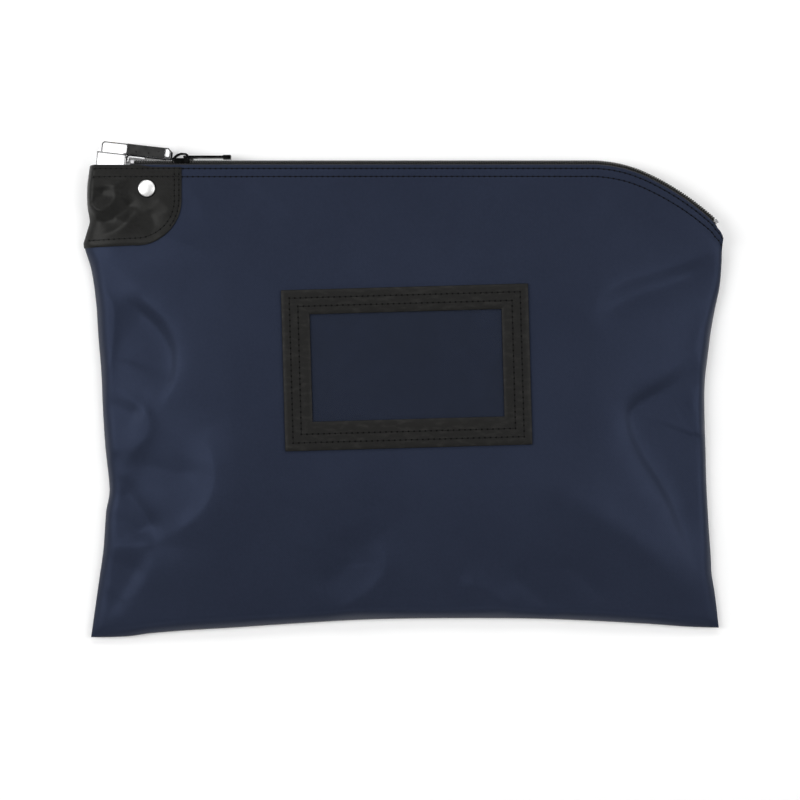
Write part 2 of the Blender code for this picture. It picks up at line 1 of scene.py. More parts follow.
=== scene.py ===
"""Looks of the cash deposit bag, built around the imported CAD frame.

The bag lies on its back on z = 0 with its front up, the zipped edge at +Y and the lock corner at -X.
Sizes are in millimetres here and are turned into metres as each mesh is made.
"""

import json
import math

import bmesh
import bpy
import numpy as np
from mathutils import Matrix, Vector

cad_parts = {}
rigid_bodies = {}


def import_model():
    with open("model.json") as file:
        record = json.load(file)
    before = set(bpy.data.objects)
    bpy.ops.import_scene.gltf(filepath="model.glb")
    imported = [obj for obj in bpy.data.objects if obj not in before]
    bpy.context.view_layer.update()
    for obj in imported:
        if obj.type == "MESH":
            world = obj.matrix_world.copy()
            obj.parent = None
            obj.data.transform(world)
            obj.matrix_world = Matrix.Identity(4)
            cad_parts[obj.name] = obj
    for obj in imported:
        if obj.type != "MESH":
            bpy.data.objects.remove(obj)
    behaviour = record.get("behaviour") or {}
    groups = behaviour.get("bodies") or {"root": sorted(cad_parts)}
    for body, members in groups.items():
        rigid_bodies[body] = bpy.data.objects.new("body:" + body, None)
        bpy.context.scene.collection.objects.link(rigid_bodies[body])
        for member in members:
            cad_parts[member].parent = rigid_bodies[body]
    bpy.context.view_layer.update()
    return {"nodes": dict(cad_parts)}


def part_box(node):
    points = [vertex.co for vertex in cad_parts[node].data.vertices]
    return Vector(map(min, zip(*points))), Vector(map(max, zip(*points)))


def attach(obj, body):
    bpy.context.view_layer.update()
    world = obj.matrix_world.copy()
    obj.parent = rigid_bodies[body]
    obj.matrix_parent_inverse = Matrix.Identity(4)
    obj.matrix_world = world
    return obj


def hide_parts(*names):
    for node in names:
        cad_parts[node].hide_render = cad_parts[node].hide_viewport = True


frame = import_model()
NODES = frame["nodes"]
MM = 0.001

# Driving dimensions. The zipper's path and coils, the hem and the label pocket are the CAD's
MID_Z = 8.5                    # height of the zipper's middle plane
BAG_HEIGHT = 280.0
PATH_START = (-186.3, 137.0)   # outer edge of the chain, then its stretches of (length, right turn)
PATH_STRETCHES = ((298.3, 0.0), (34.9, 25.0), (47.5, 17.0), (10.6, 38.0), (4.0, 0.0))
PATH_LENGTH = sum(length for length, _turn in PATH_STRETCHES)
HEM_SETBACK = 3.1              # of the panels' top edge behind the zipper's outer edge
HEM_HALF_GAP = 6.3             # half the mouth's height under the slider
HEM_END_HALF_GAP = 4.2         # the same at the zipper's right end
HEM_END = 10.0                 # length over which the hem closes up to the zipper's end
SEAM_HALF = 0.85               # half a sewn seam's thickness
SEAM_LOW = 3.0                 # height of the seams away from the mouth
SEAM_DROP = 70.0               # distance below the hem at which they get there
FRONT_TOP = 18.5
CLOTH = 0.45                   # thickness of the patches and tapes
TAPE_BEHIND = 1.25
CHAIN_SETBACK = 1.15           # of the coils' middle
CHAIN_START = 26.3
CHAIN_STOP = PATH_LENGTH - 13.0
TAPE_START = 23.8
TAPE_STOP = PATH_LENGTH - 0.8  # the tapes run on past the end stop, nearly to the seam
TAPE_SETBACK = 2.65
TAPE_INNER_HALF_GAP = 0.7
TAPE_WIDTH = 9.0
PATCH_LEFT = -187.0
PATCH_TOP = 132.4
PATCH_LEFT_TOP = 133.6         # it reaches the hem beside the lock
PATCH_SLOPE = 0.045            # of the bottom edge, down to the left
PATCH_CORNER = (-158.6, 113.0)
PATCH_RADIUS = 27.0
PATCH_BOTTOM = 86.0
LABEL_CENTRE = (2.15, 13.3)
LABEL_SIZE = (146.0, 95.0)
FILM_SIZE = (132.0, 82.0)
WINDOW_SIZE = (114.0, 64.0)
WINDOW_OFFSET = (0.25, 1.2)
LABEL_TURN = math.radians(1.6)

# Outline of the bag: the seams pull in between the corners
LEFT_EDGE = ((-186.9, -148.1), (-183.5, -124), (-181.5, -110), (-179.5, -95.5), (-178.3, -78.5),
             (-177.7, -71.6), (-175.9, -62.1), (-176.3, -52.5), (-178.4, -33.4), (-179.9, -9.6),
             (-180.7, 9.6), (-182.6, 33.4), (-183.9, 52.5), (-186.6, 71.6), (-190.6, 85.4),
             (-189.8, 90.7), (-187.5, 97.9), (-186.9, 101.5), (-188.1, 110), (-188.1, 120),
             (-187.2, 128), (-186.3, 134.2))
RIGHT_EDGE = ((189.2, -142.4), (187.1, -124), (184.9, -110), (184.4, -100), (183.1, -81),
              (181.8, -57), (181.3, -38), (180.6, -12), (180.8, 5), (182.4, 19), (184.2, 33.4),
              (186.6, 47.8), (189.3, 62), (190.2, 76), (190.3, 86))
BOTTOM_EDGE = ((-186.9, -148.1), (-174.9, -148), (-163, -147.4), (-151, -145.7), (-127, -143.8),
               (-103, -142.4), (-67, -140), (-31.6, -137.9), (-8, -137.1), (28, -136.7), (76, -136.9),
               (112, -138.2), (147, -140.1), (171, -141.8), (189.2, -142.4))


# ---------------------------------------------------------------- curves and the bag's surface

def ease(t):
    """Ease from 0 to 1."""
    t = np.clip(t, 0.0, 1.0)
    return t * t * (3 - 2 * t)


def smooth_line(points, steps=10):
    """A smooth line through points (Catmull-Rom), as an array of positions."""
    p = np.array(points, float)
    p = np.vstack((2 * p[0] - p[1], p, 2 * p[-1] - p[-2]))
    t = np.linspace(0, 1, steps, endpoint=False)[:, None]
    parts = []
    for a, b, c, d in zip(p, p[1:], p[2:], p[3:]):
        parts.append(0.5 * (2 * b + (c - a) * t + (2 * a - 5 * b + 4 * c - d) * t ** 2
                            + (3 * b - a - 3 * c + d) * t ** 3))
    return np.vstack(parts + [p[-2:-1]])


def path_table(step=0.2):
    """Position and heading (clockwise from +X) at even steps along the zipper."""
    lengths = np.cumsum([0.0] + [length for length, _turn in PATH_STRETCHES])
    turns = np.radians(np.cumsum([0.0] + [turn for _length, turn in PATH_STRETCHES]))
    s = np.arange(0.0, PATH_LENGTH + step, step)
    middle = np.interp(s[:-1] + step / 2, lengths, turns)
    x = PATH_START[0] + np.concatenate(([0.0], np.cumsum(np.cos(middle) * step)))
    y = PATH_START[1] - np.concatenate(([0.0], np.cumsum(np.sin(middle) * step)))
    return s, x, y, np.interp(s, lengths, turns)


PATH = path_table()


def path_point(s, setback):
    """A point behind the zipper's outer edge."""
    heading = np.interp(s, PATH[0], PATH[3])
    x = np.interp(s, PATH[0], PATH[1]) - setback * np.sin(heading)
    y = np.interp(s, PATH[0], PATH[2]) - setback * np.cos(heading)
    return np.stack((x, y), -1)


def hem_point(s):
    """The panels' top edge, which closes up to the zipper at its right end."""
    closing = ease((s - PATH_LENGTH + HEM_END) / HEM_END)
    return path_point(s, HEM_SETBACK - (HEM_SETBACK - 0.3) * closing)


HEM_LEFT = hem_point(0.0)
HEM_RIGHT = hem_point(PATH_LENGTH)
LEFT_LINE = smooth_line(LEFT_EDGE)
RIGHT_LINE = smooth_line(RIGHT_EDGE + (tuple(HEM_RIGHT),))
BOTTOM_LINE = smooth_line(BOTTOM_EDGE)


def bottom_edge(u):
    x = LEFT_EDGE[0][0] + (RIGHT_EDGE[0][0] - LEFT_EDGE[0][0]) * u
    return np.stack((x, np.interp(x, BOTTOM_LINE[:, 0], BOTTOM_LINE[:, 1])), -1)


def side_edge(v, line, top):
    y = line[0][1] + (top[1] - line[0][1]) * v
    return np.stack((np.interp(y, line[:, 1], line[:, 0]), y), -1)


def plan(s, drop):
    """Plan position of a panel point: s along the hem, drop down from it."""
    u = (s / PATH_LENGTH)[..., None]
    v = (1 - drop / BAG_HEIGHT)[..., None]
    bottom = bottom_edge(u[..., 0])
    across = bottom * (1 - v) + hem_point(s) * v
    left = side_edge(v[..., 0], LEFT_LINE, HEM_LEFT)
    right = side_edge(v[..., 0], RIGHT_LINE, HEM_RIGHT)
    along = left * (1 - u) + right * u
    corners = LEFT_LINE[0] * (1 - u) * (1 - v) + RIGHT_LINE[0] * u * (1 - v)
    corners = corners + HEM_LEFT * (1 - u) * v + HEM_RIGHT * u * v
    return across + along - corners


def locate(x, y):
    """The s and drop of a plan position, by moving a first guess by what it misses."""
    s = x - PATH_START[0]
    drop = HEM_LEFT[1] - y
    for _ in range(12):
        found = plan(s, drop)
        s = np.clip(s + x - found[..., 0], 0, PATH_LENGTH)
        drop = np.clip(drop - y + found[..., 1], 0, BAG_HEIGHT)
    return s, drop


def swell(distance, reach):
    """How far the fabric has risen at a distance in from a seam: 0 at the seam, 1 past reach."""
    t = np.clip(distance / reach, 0.0, 1.0)
    return (1 - (1 - t) ** 2) ** 0.7


EDGE_ROUND = 9.0               # width of the front's rounded edge beside a seam
EDGE_SHARE = 0.42              # of the front's rise that lies in that edge


def puff(distance, reach):
    """Rise of the front from a seam: a narrow rounded edge, then a long gentle slope."""
    edge = 1 - (1 - np.clip(distance / np.minimum(EDGE_ROUND, reach), 0.0, 1.0)) ** 2.5
    slope = 1 - (1 - np.clip(distance / reach / 1.2, 0.0, 1.0)) ** 1.4
    return EDGE_SHARE * edge + (1 - EDGE_SHARE) * slope


# How far in from each seam the cloth rises; beside the lock it rises at once
LOCK_REACH = 3.2
FRONT_REACH = 70.0
BACK_REACH = 18.0
MOUTH_END_REACH = 25.0


def seam_height(drop):
    """Height of the side seams, which climb to the zipper's middle plane at the mouth."""
    return SEAM_LOW + (MID_Z - SEAM_LOW) * ease(1 - drop / SEAM_DROP)


def open_end(s, drop):
    """How much further a panel stands from the middle plane at the mouth's right end."""
    return (HEM_END_HALF_GAP - SEAM_HALF) * ease(1 - drop / 12) * ease(s / 60)


def reaches(drop, reach):
    """Reach from the left and the right seam at a distance below the hem."""
    left = LOCK_REACH + (reach - LOCK_REACH) * ease((drop - 22) / 38)
    right = MOUTH_END_REACH + (reach - MOUTH_END_REACH) * ease(drop / 50)
    return left, right


def front_rise(s, drop):
    """0 at the front's seams, 1 well inside them."""
    left, right = reaches(drop, FRONT_REACH)
    return puff(s, left) * puff(PATH_LENGTH - s, right) * puff(BAG_HEIGHT - drop, FRONT_REACH)


def front_base(s, drop):
    """Height of the front before its folds."""
    base = seam_height(drop) + SEAM_HALF + open_end(s, drop)
    hem = MID_Z + HEM_HALF_GAP
    target = hem + (FRONT_TOP - hem) * ease((drop - 24) / 60)
    return base + (target - base) * front_rise(s, drop)


def back_base(s, drop):
    """Height of the back: it lies on the table, and hangs clear of it near the hem and the lock."""
    left, right = reaches(drop, BACK_REACH)
    rise = swell(s, left) * swell(PATH_LENGTH - s, right) * swell(BAG_HEIGHT - drop, BACK_REACH)
    base = seam_height(drop) - SEAM_HALF - open_end(s, drop)
    lift = MID_Z - HEM_HALF_GAP
    by_hem = ease(1 - drop / 30)
    by_lock = ease((73 - drop) / 45) * ease((110 - s) / 45)
    target = lift * np.maximum(by_hem, by_lock)
    return base + (target - base) * rise


# ---------------------------------------------------------------- folds

def beside(points, x, y):
    """Distance to the left (+) or right (-) of a smooth line, and how far along it, 0 to 1."""
    line = smooth_line(points, 6)
    steps = np.hypot(*np.diff(line, axis=0).T)
    start = np.concatenate(([0.0], np.cumsum(steps)))
    nearest = np.full(x.shape, 1e9)
    side = np.zeros(x.shape)
    along = np.zeros(x.shape)
    for (x0, y0), (x1, y1), before, step in zip(line, line[1:], start, steps):
        dx = (x1 - x0) / step
        dy = (y1 - y0) / step
        k = np.clip((x - x0) * dx + (y - y0) * dy, 0, step)
        ex = x - x0 - k * dx
        ey = y - y0 - k * dy
        distance = np.hypot(ex, ey)
        closer = distance < nearest
        nearest = np.where(closer, distance, nearest)
        side = np.where(closer, np.sign(dx * ey - dy * ex), side)
        along = np.where(closer, (before + k) / start[-1], along)
    return nearest * np.where(side < 0, -1.0, 1.0), along


def crease(x, y, height, left, right, points, ends=0.3):
    """A fold of the cloth: its height falls away to the left and right of its line."""
    offset, along = beside(points, x, y)
    t = np.where(offset > 0, offset / left, -offset / right)
    profile = np.exp(0.4 - np.sqrt(t * t + 0.16))
    return height * profile * ease(along / ends + 0.05) * ease((1 - along) / ends + 0.05)


# (height, width on the left, width on the right, line), as seen along the line
FRONT_FOLDS = (
    # left side, from the patch down
    (1.0, 16, 7, ((-187, 84), (-170, 72), (-152, 54))),
    (1.7, 24, 4.0, ((-166, 64), (-150, 51), (-138, 38), (-133, 24), (-133.5, 10), (-138, -3),
                    (-145, -16))),
    (-2.0, 3.5, 18, ((-170, 56), (-155, 45), (-144, 33), (-139, 22), (-140, 9), (-147, -3))),
    (0.8, 2.2, 6, ((-183, 63), (-176, 57), (-172, 47), (-172.5, 30), (-175, 14), (-177, 0))),
    (1.1, 3.2, 9, ((-176, 1), (-163, -5), (-154, -12), (-150.5, -21), (-153, -29), (-161, -37),
                   (-168, -46))),
    (-1.4, 6, 8, ((-180, -8), (-168, -11), (-154, -17))),
    (-0.9, 5, 5, ((-175, -36), (-171, -48), (-171, -60))),
    (1.9, 20, 6.0, ((-120, -22), (-113, -38), (-111, -54), (-117, -70), (-130, -82), (-146, -90))),
    (-1.3, 9, 6, ((-166, -42), (-148, -47), (-133, -50), (-117, -48))),
    (-2.2, 5, 12, ((-168, -50), (-163, -62), (-157, -71), (-150, -82), (-147, -92))),
    (-0.7, 3.5, 5, ((-178, -73), (-166, -79), (-149, -88))),
    (0.6, 4, 3, ((-176, -94), (-160, -93), (-147, -91))),
    (1.8, 22, 6.5, ((-146, -90), (-148, -103), (-155, -117), (-164, -131), (-180, -147))),
    (-1.6, 4, 12, ((-157, -96), (-160, -108), (-168, -122), (-178, -136))),
    (0.6, 3, 3, ((-180, -116), (-170, -121), (-165, -129))),
    # bottom
    (2.6, 12, 7, ((-19, -88), (-9, -104), (-20, -121), (-46, -136))),
    (-1.8, 9, 9, ((-38, -82), (-32, -101), (-56, -122))),
    (2.1, 7, 6, ((32, -112), (50, -121), (66, -133))),
    (-1.8, 7, 7, ((62, -106), (80, -122), (94, -136))),
    (-1.4, 7, 7, ((93, -99), (108, -112), (124, -126))),
    # right side
    (3.0, 15, 15, ((62, -36), (100, -66), (134, -88), (160, -110), (182, -140))),
    (1.3, 5.0, 14, ((178, 28), (152, 6), (134, -8), (131, -20), (138, -38), (153, -62), (164, -88),
                    (178, -122))),
    (-3.6, 26, 6.5, ((180, 18), (160, 2), (140, -9), (137, -20), (144, -38), (159, -62), (170, -88),
                     (181, -118))),
    (1.6, 7, 16, ((192, 86), (160, 74), (130, 65), (113, 51), (109, 38))),
    (-2.4, 12, 9, ((112, 38), (130, 53), (158, 64), (192, 76))),
    (0.9, 4, 4, ((182, 50), (175, 25), (181, 3))),
    (0.9, 4, 4, ((172, 3), (175, -17), (181, -34))),
    # short pulls under the hem
    (0.5, 5, 5, ((-131, 125), (-121, 112), (-117, 98))),
    (0.6, 6, 5, ((-93, 125), (-76, 115), (-58, 98))),
    (0.4, 5, 5, ((-63, 93), (-40, 80))),
    (0.5, 6, 6, ((122, 120), (108, 100), (104, 80))),
    # the corner patch, drawn in by its rivet
    (-1.8, 4, 4, ((-158, 115), (-164, 108), (-170, 103), (-182, 99))),
    (1.5, 5, 3.0, ((-157, 108), (-162, 102), (-168, 96), (-182, 90))),
    (1.5, 4, 3.0, ((-162, 124), (-171, 121), (-171, 114), (-177, 108), (-188, 105))),
    (-1.3, 4, 4, ((-178, 122), (-179, 115), (-187, 111))),
    (0.9, 3, 5, ((-148, 116), (-141, 110), (-136, 103))),
    (-0.9, 3, 4, ((-152, 108), (-148, 98), (-152, 90))),
)
BACK_FOLDS = (
    (-0.7, 8, 5, ((-140, 60), (-120, 20), (-140, -20))),
    (-0.6, 6, 8, ((130, 60), (110, 10), (150, -40))),
    (-0.5, 8, 8, ((-60, -110), (0, -95), (70, -115))),
)


def relief(folds, x, y):
    """Height of all the folds together."""
    total = np.zeros(x.shape)
    for height, left, right, points in folds:
        total += crease(x, y, height, left, right, points)
    return total


HEM_ROWS = (2.4, 7.3)          # stitch lines below the hem
HEM_STITCH_LIFT = 0.10         # of each row of stitches above the cloth under it
PATCH_STITCH_LIFT = 0.85
LABEL_STITCH_LIFT = 1.72


def stitch_dip(s, drop):
    """The hem's stitches pull the cloth down a little along their two lines."""
    dip = np.zeros(s.shape)
    for row in HEM_ROWS:
        dip -= 0.22 * np.exp(-((drop - row) / 0.55) ** 2)
    return dip * ease((PATH_LENGTH - s) / 4)


def surface(side, s, drop, lift=0.0):
    """Outer face of the front (side 1) or back (side -1) cloth, moved out by lift."""
    s = np.asarray(s, float)
    drop = np.asarray(drop, float)
    xy = plan(s, drop)
    if side > 0:
        fade = ease(front_rise(s, drop) * 1.4) * ease(drop / 9)
        z = front_base(s, drop) + fade * relief(FRONT_FOLDS, xy[..., 0], xy[..., 1])
    else:
        fade = ease((MID_Z - back_base(s, drop)) / 6) * ease(drop / 30)
        z = np.maximum(back_base(s, drop) - fade * relief(BACK_FOLDS, xy[..., 0], xy[..., 1]), 0.0)
    z = z + side * (stitch_dip(s, drop) + lift)
    return np.concatenate((xy, z[..., None]), -1)


def surface_at(side, x, y, lift=0.0):
    return surface(side, *locate(np.asarray(x, float), np.asarray(y, float)), lift)


# ---------------------------------------------------------------- meshes

def mesh_object(name, verts, faces, uv=None):
    """An object from positions in mm; uv gives one pair for each vertex."""
    mesh = bpy.data.meshes.new(name)
    mesh.from_pydata((np.asarray(verts, float).reshape(-1, 3) * MM).tolist(), [], faces)
    if uv is not None:
        layer = mesh.uv_layers.new(name="UVMap")
        corners = np.zeros(len(mesh.loops), int)
        mesh.loops.foreach_get("vertex_index", corners)
        layer.data.foreach_set("uv", np.asarray(uv, float).reshape(-1, 2)[corners].ravel() * MM)
    mesh.shade_smooth()
    obj = bpy.data.objects.new(name, mesh)
    bpy.context.scene.collection.objects.link(obj)
    return obj


def grid_faces(rows, columns, keep=None, closed=False):
    """Quads of a grid whose rows go down and columns go right; closed joins its last row to its first."""
    index = np.arange(rows * columns).reshape(rows, columns)
    if closed:
        index = np.vstack((index, index[:1]))
    quads = np.stack((index[1:, :-1], index[1:, 1:], index[:-1, 1:], index[:-1, :-1]), -1)
    return (quads[keep] if keep is not None else quads.reshape(-1, 4)).tolist()


def thicken(obj, thickness, offset):
    """Gives a sheet a thickness: offset 1 builds it outwards, 0 to both sides."""
    solid = obj.modifiers.new("thickness", "SOLIDIFY")
    solid.thickness = thickness * MM
    solid.offset = offset
    return obj


def tube_mesh(name, line, radius, sides=8):
    """A round wire along a dense line of positions, with closed ends."""
    line = np.asarray(line, float)
    along = np.gradient(line, axis=0)
    along /= np.linalg.norm(along, axis=1)[:, None]
    up = np.cross(along, (0.0, 1.0, 0.02))
    up /= np.linalg.norm(up, axis=1)[:, None]
    across = np.cross(along, up)
    turn = np.linspace(0, 2 * math.pi, sides, endpoint=False)
    rings = [line + radius * (math.cos(a) * up + math.sin(a) * across) for a in turn]
    verts = np.stack(rings)
    faces = grid_faces(sides, len(line), closed=True)
    count = len(line)
    faces.append([i * count for i in range(sides)])
    faces.append([i * count + count - 1 for i in range(sides)][::-1])
    return mesh_object(name, verts, faces)


def resample(line, pitch):
    """Evenly spaced positions along a dense line, and the direction at each."""
    line = np.asarray(line, float)
    length = np.concatenate(([0.0], np.cumsum(np.linalg.norm(np.diff(line, axis=0), axis=1))))
    count = max(2, round(length[-1] / pitch))
    at = (np.arange(count) + 0.5) * length[-1] / count
    points = np.stack([np.interp(at, length, line[:, i]) for i in range(3)], -1)
    ahead = np.stack([np.interp(at + 0.2, length, line[:, i]) for i in range(3)], -1)
    behind = np.stack([np.interp(at - 0.2, length, line[:, i]) for i in range(3)], -1)
    along = ahead - behind
    return points, along / np.linalg.norm(along, axis=1)[:, None]


# (place along a bead from -1 to 1, width)
BEAD_RINGS = ((-1.0, 0.3), (-0.8, 0.75), (-0.4, 1.0), (0.0, 1.05), (0.4, 1.0), (0.8, 0.75), (1.0, 0.3))


def beads(name, lines, pitch, length, radius, flat=1.0, sink=0.9, shift=0.0, side=1):
    """Rows of small plump beads along the lines: thread stitches, or the dark flat beads of painted shade
    in the needle holes between them.
    """
    sides = 7
    verts = []
    faces = []
    ring_faces = grid_faces(sides, len(BEAD_RINGS), closed=True)
    for line in lines:
        points, directions = resample(line, pitch)
        points = points + directions * shift * pitch
        for point, along in zip(points, directions):
            up = np.array((0.0, 0.0, float(side)))
            across = np.cross(along, up)
            across /= np.linalg.norm(across)
            up = np.cross(across, along)
            first = len(verts) * sides * len(BEAD_RINGS)
            bead = []
            for i in range(sides):
                angle = 2 * math.pi * i / sides
                for place, width in BEAD_RINGS:
                    r = radius * width
                    rise = flat * r * math.sin(angle) - sink * radius * place ** 4
                    aside = r * math.cos(angle)
                    bead.append(point + along * place * length / 2 + up * rise + across * aside)
            verts.append(bead)
            faces.extend([[corner + first for corner in face] for face in ring_faces])
    return mesh_object(name, np.array(verts), faces)


HOLE_LENGTH = 1.15
HOLE_RADIUS = 0.5


def sew(name, lines, thread_material, slot, pitch=3.2, gauge=0.24, side=1):
    """A thread stitch for each pitch, with dark flat beads between stitches as painted shade in the needle
    holes.
    """
    thread_beads = beads(name, lines, pitch, pitch * 0.86, gauge, side=side)
    dress(thread_beads, slot, "bag", material=thread_material)
    # near-black flat beads between the stitches: painted shade in the needle holes
    hole_shades = beads(name + "_holes", lines, pitch, HOLE_LENGTH, HOLE_RADIUS, flat=0.5, sink=0.1, shift=0.5,
                  side=side)
    dress(hole_shades, "black_tape", "bag", material=NEEDLE_HOLE_SHADE)


# ---------------------------------------------------------------- materials

class Finish:
    """A Principled material with short calls for its procedural nodes."""

    def __init__(self, name, roughness=0.5, metallic=0.0, **sockets):
        self.material = bpy.data.materials.new(name)
        self.material.use_nodes = True
        self.tree = self.material.node_tree
        self.shader = self.tree.nodes["Principled BSDF"]
        self.shader.inputs["Roughness"].default_value = roughness
        self.shader.inputs["Metallic"].default_value = metallic
        for socket, value in sockets.items():
            self.shader.inputs[socket.replace("_", " ")].default_value = value
        self.place = self.add("ShaderNodeTexCoord").outputs["Object"]

    def add(self, kind, *values, **settings):
        made = self.tree.nodes.new(kind)
        for key, value in settings.items():
            setattr(made, key, value)
        for socket, value in zip(made.inputs, values):
            if isinstance(value, bpy.types.NodeSocket):
                self.tree.links.new(value, socket)
            elif value is not None:
                socket.default_value = value
        return made

    def math(self, operation, a, b=0.0):
        return self.add("ShaderNodeMath", a, b, operation=operation).outputs[0]

    def noise(self, scale, detail=3.0, stretch=(1, 1, 1)):
        place = self.add("ShaderNodeMapping", self.place, (0, 0, 0), (0, 0, 0), stretch).outputs[0]
        return self.add("ShaderNodeTexNoise", place, None, scale, detail).outputs[0]

    def span(self, value, low, high, start=0.3, stop=0.7):
        """value from start..stop mapped to low..high."""
        return self.add("ShaderNodeMapRange", value, start, stop, low, high).outputs[0]

    def blend(self, amount, a, b):
        made = self.tree.nodes.new("ShaderNodeMix")
        made.data_type = "RGBA"
        for socket, value in ((made.inputs[0], amount), (made.inputs[6], a), (made.inputs[7], b)):
            if isinstance(value, bpy.types.NodeSocket):
                self.tree.links.new(value, socket)
            else:
                socket.default_value = value if isinstance(value, float) else (*value, 1.0)
        return made.outputs[2]

    def weave(self, pitch, place=None, turn=0.0):
        """Height of a plain weave, 0 to 1: each thread goes over one and under the next."""
        place = self.add("ShaderNodeMapping", place or self.place, (0, 0, 0), (0, 0, turn),
                         (1 / pitch, 1 / pitch, 1 / pitch)).outputs[0]
        axes = self.add("ShaderNodeSeparateXYZ", place).outputs
        warp = self.math("SINE", self.math("MULTIPLY", axes[0], math.pi))
        weft = self.math("SINE", self.math("MULTIPLY", axes[1], math.pi))
        over = self.math("GREATER_THAN", self.math("MULTIPLY", warp, weft), 0.0)
        heights = (self.math("ABSOLUTE", warp), self.math("ABSOLUTE", weft))
        return self.add("ShaderNodeMix", over, None, heights[1], heights[0]).outputs[0]

    def twill(self, pitch, lean=1.0):
        """Fine diagonal ribs, 0 to 1."""
        axes = self.add("ShaderNodeSeparateXYZ", self.place).outputs
        across = self.math("ADD", axes[0], self.math("MULTIPLY", axes[1], lean))
        wave = self.math("SINE", self.math("MULTIPLY", across, 2 * math.pi / pitch))
        return self.math("MULTIPLY", self.math("ADD", wave, 1.0), 0.5)

    def bump(self, height, distance, strength=1.0):
        """Adds a relief of that depth in mm to the surface."""
        normal = self.shader.inputs["Normal"]
        before = normal.links[0].from_socket if normal.is_linked else None
        made = self.add("ShaderNodeBump")
        made.inputs["Strength"].default_value = strength
        made.inputs["Distance"].default_value = distance * MM
        self.tree.links.new(height, made.inputs["Height"])
        if before:
            self.tree.links.new(before, made.inputs["Normal"])
        self.tree.links.new(made.outputs[0], normal)

    def colour(self, value):
        if isinstance(value, bpy.types.NodeSocket):
            self.tree.links.new(value, self.shader.inputs["Base Color"])
        else:
            self.shader.inputs["Base Color"].default_value = (*value, 1.0)

    def roughness(self, value):
        self.tree.links.new(value, self.shader.inputs["Roughness"])


def nylon(name, dark, light, pitch, rib, rib_shade, gloss=(1.0, 1.0, 1.0)):
    """Coated nylon cloth: fine weave, diagonal ribs and slow changes of shade."""
    made = Finish(name, roughness=0.4, Specular_IOR_Level=0.16, Specular_Tint=(*gloss, 1.0))
    weave = made.weave(pitch * MM)
    twill = made.twill(rib * MM)
    shade = made.span(made.noise(18.0, 4.0), 0.0, 0.6)
    slubs = made.math("MULTIPLY", made.math("SUBTRACT", made.noise(700.0, 2.0), 0.5), 1.2)
    threads = made.math("ADD", made.math("MULTIPLY", weave, 0.2), made.math("MULTIPLY", twill, rib_shade))
    made.colour(made.blend(made.math("ADD", shade, made.math("ADD", threads, slubs)), dark, light))
    made.roughness(made.span(made.noise(60.0), 0.36, 0.42))
    made.bump(weave, 0.012)
    made.bump(twill, 0.008)
    made.bump(made.noise(160.0, 2.0), 0.05)
    return made.material


def tape_cloth(name, dark, light):
    """Woven polyester tape with ribs across it."""
    made = Finish(name, roughness=0.75, Specular_IOR_Level=0.3, Sheen_Weight=0.1)
    weave = made.weave(0.45 * MM)
    shade = made.math("MULTIPLY", weave, made.span(made.noise(90.0), 0.5, 1.0))
    made.colour(made.blend(shade, dark, light))
    made.bump(weave, 0.12)
    return made.material


def vinyl(name, dark, light):
    """Supported vinyl: soft sheen, fine pebbled grain, paler scuffs."""
    made = Finish(name, roughness=0.45, Specular_IOR_Level=0.12)
    grain = made.noise(1400.0, 2.0)
    scuff = made.span(made.noise(160.0, 5.0, (1, 2.5, 1)), 0.0, 1.0, 0.5, 0.75)
    made.colour(made.blend(scuff, dark, light))
    made.roughness(made.span(made.noise(240.0), 0.4, 0.6))
    made.bump(grain, 0.05)
    made.bump(made.noise(120.0, 2.0), 0.1)
    return made.material


def clear_film(name):
    """Thin clear sheet with a little haze and slow ripples."""
    made = Finish(name, roughness=0.16, Specular_IOR_Level=0.5)
    made.colour((0.020, 0.026, 0.042))
    haze = made.span(made.noise(30.0, 4.0), 0.10, 0.20)
    made.tree.links.new(haze, made.shader.inputs["Alpha"])
    made.bump(made.noise(45.0, 1.0), 0.08)
    return made.material


def metal(name, dark, light, rough, smooth, brushed=(1, 1, 1), metallic=1.0, painted_edge_reflection=0.0):
    """Plated or bare metal with faint handling marks; painted_edge_reflection, in mm, sets how wide a
    painted dark reflection runs along its edges.
    """
    made = Finish(name, roughness=rough, metallic=metallic)
    marks = made.noise(260.0, 4.0, brushed)
    colour = made.blend(made.span(marks, 0.0, 1.0), dark, light)
    if painted_edge_reflection:
        # painted dark reflection: the colour goes near black where the rounded normal leans away from the
        # flat one, along edges and chamfers
        rounded = made.add("ShaderNodeBevel", painted_edge_reflection * MM, samples=16).outputs[0]
        flat = made.add("ShaderNodeNewGeometry").outputs["Normal"]
        agree = made.add("ShaderNodeVectorMath", rounded, flat, operation="DOT_PRODUCT").outputs["Value"]
        colour = made.blend(made.span(agree, 0.0, 1.0, 0.92, 0.985), (0.02, 0.02, 0.021), colour)
    made.colour(colour)
    made.roughness(made.span(made.noise(420.0, 3.0), smooth, rough))
    made.bump(marks, 0.01)
    return made.material


def thread(name, dark, light):
    """Twisted sewing thread."""
    made = Finish(name, roughness=0.75, Specular_IOR_Level=0.1)
    twist = made.twill(0.35 * MM, 0.8)
    made.colour(made.blend(twist, dark, light))
    made.bump(twist, 0.06)
    return made.material


def moulded(name, dark, light):
    """Extruded nylon wire of the coils, with a painted highlight: paler on the outside of each loop, away
    from the middle plane.
    """
    made = Finish(name, roughness=0.35, Specular_IOR_Level=0.5)
    height = made.add("ShaderNodeSeparateXYZ", made.place).outputs[2]
    away = made.math("ABSOLUTE", made.math("SUBTRACT", height, MID_Z * MM))
    # painted highlight: each loop's outer side goes paler, standing in for its glint, broken up by noise
    painted_highlight = made.span(away, 0.0, 0.85, 2.1 * MM, 2.8 * MM)
    highlight_breakup = made.math("MULTIPLY", made.noise(700.0, 2.0), 0.3)
    made.colour(made.blend(made.math("ADD", painted_highlight, made.math("MULTIPLY", painted_highlight, highlight_breakup)), dark, light))
    made.roughness(made.span(made.noise(900.0, 2.0), 0.28, 0.5))
    return made.material


